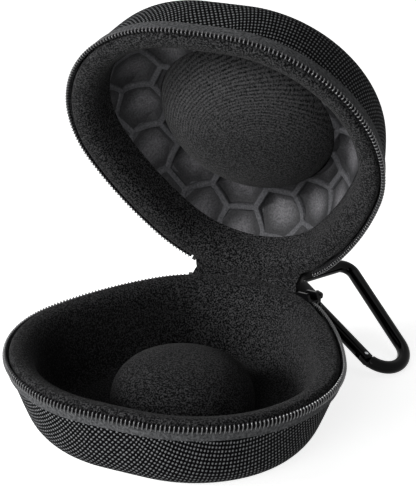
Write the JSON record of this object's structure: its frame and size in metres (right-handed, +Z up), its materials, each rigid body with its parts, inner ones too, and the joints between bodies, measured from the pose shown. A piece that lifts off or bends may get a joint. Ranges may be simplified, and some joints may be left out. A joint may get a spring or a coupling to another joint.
{
  "type": "watch travel case",
  "caption": "Egg-shaped semi-rigid travel case of two zipped half shells with padded linings, soft domes, a fabric hinge and a snap clip on a webbing loop.",
  "frame": {"origin": "on the floor under the middle of the closed case, at the centre of the base's flat bottom", "axes": "+Z up, -Y towards the front where the lid opens, +X to the side of the zip slider and the clip"},
  "size_m": [0.1221, 0.1633, 0.1426],
  "materials": {
    "woven_cover": "woven ballistic nylon, dark grey",
    "core_foam": "moulded EVA foam",
    "fleece": "brushed fleece lining, black",
    "zip_tape": "fine woven zip tape",
    "zip_coil": "nylon coil",
    "webbing": "nylon webbing",
    "pad_foam": "heat-pressed foam pad",
    "slider_metal": "black enamelled zinc",
    "clip_enamel": "gloss black anodised aluminium",
    "pin_steel": "plain steel"
  },
  "bodies": {
    "base": {"base_cover": "woven_cover", "base_core": "core_foam", "base_rim_foam": "core_foam", "base_lining": "fleece", "base_mound": "fleece", "base_zip_tape": "zip_tape", "base_zip_coil": "zip_coil", "zip_stops": "zip_coil", "hinge_panel_lower": "woven_cover", "strap_loop": "webbing"},
    "lid": {"lid_cover": "woven_cover", "lid_core": "core_foam", "lid_rim_foam": "core_foam", "lid_lining": "fleece", "lid_dome": "fleece", "lid_hex_pad": "pad_foam", "lid_zip_tape": "zip_tape", "lid_zip_coil": "zip_coil", "lid_zip_stop": "zip_coil", "hinge_panel_upper": "woven_cover"},
    "slider": {"slider_body": "slider_metal", "slider_bail": "slider_metal"},
    "pull": {"zip_pull": "slider_metal"},
    "clip": {"clip_frame": "clip_enamel", "gate_pin": "pin_steel"},
    "gate": {"clip_gate": "clip_enamel", "gate_spring": "pin_steel"}
  },
  "joints": [
    {"name": "lid_hinge", "type": "hinge", "parent": "base", "child": "lid", "pos_m": [0, 0.06017, 0.031], "axis": [-1, 0, 0], "range_deg": [-62.2, 27.8]},
    {"name": "slider_travel", "type": "hinge", "parent": "base", "child": "slider", "pos_m": [0, 0.01667, 0.031], "axis": [0, 0, -1], "range_deg": [0, 12]},
    {"name": "pull_swing", "type": "hinge", "parent": "slider", "child": "pull", "pos_m": [0.02955, 0.05588, 0.031], "axis": [0.7986, -0.6018, 0], "range_deg": [0, 95]},
    {"name": "clip_swing", "type": "hinge", "parent": "base", "child": "clip", "pos_m": [0.0192, 0.07201, 0.02237], "axis": [0.8293, -0.311, -0.4642], "range_deg": [0, 10]},
    {"name": "gate_hinge", "type": "hinge", "parent": "clip", "child": "gate", "pos_m": [0.04736, 0.06145, 0.00661], "axis": [-0.4104, 0.2247, -0.8838], "range_deg": [0, 25], "stiffness_Nm_per_rad": 0.08, "springref_deg": -20.05}
  ]
}
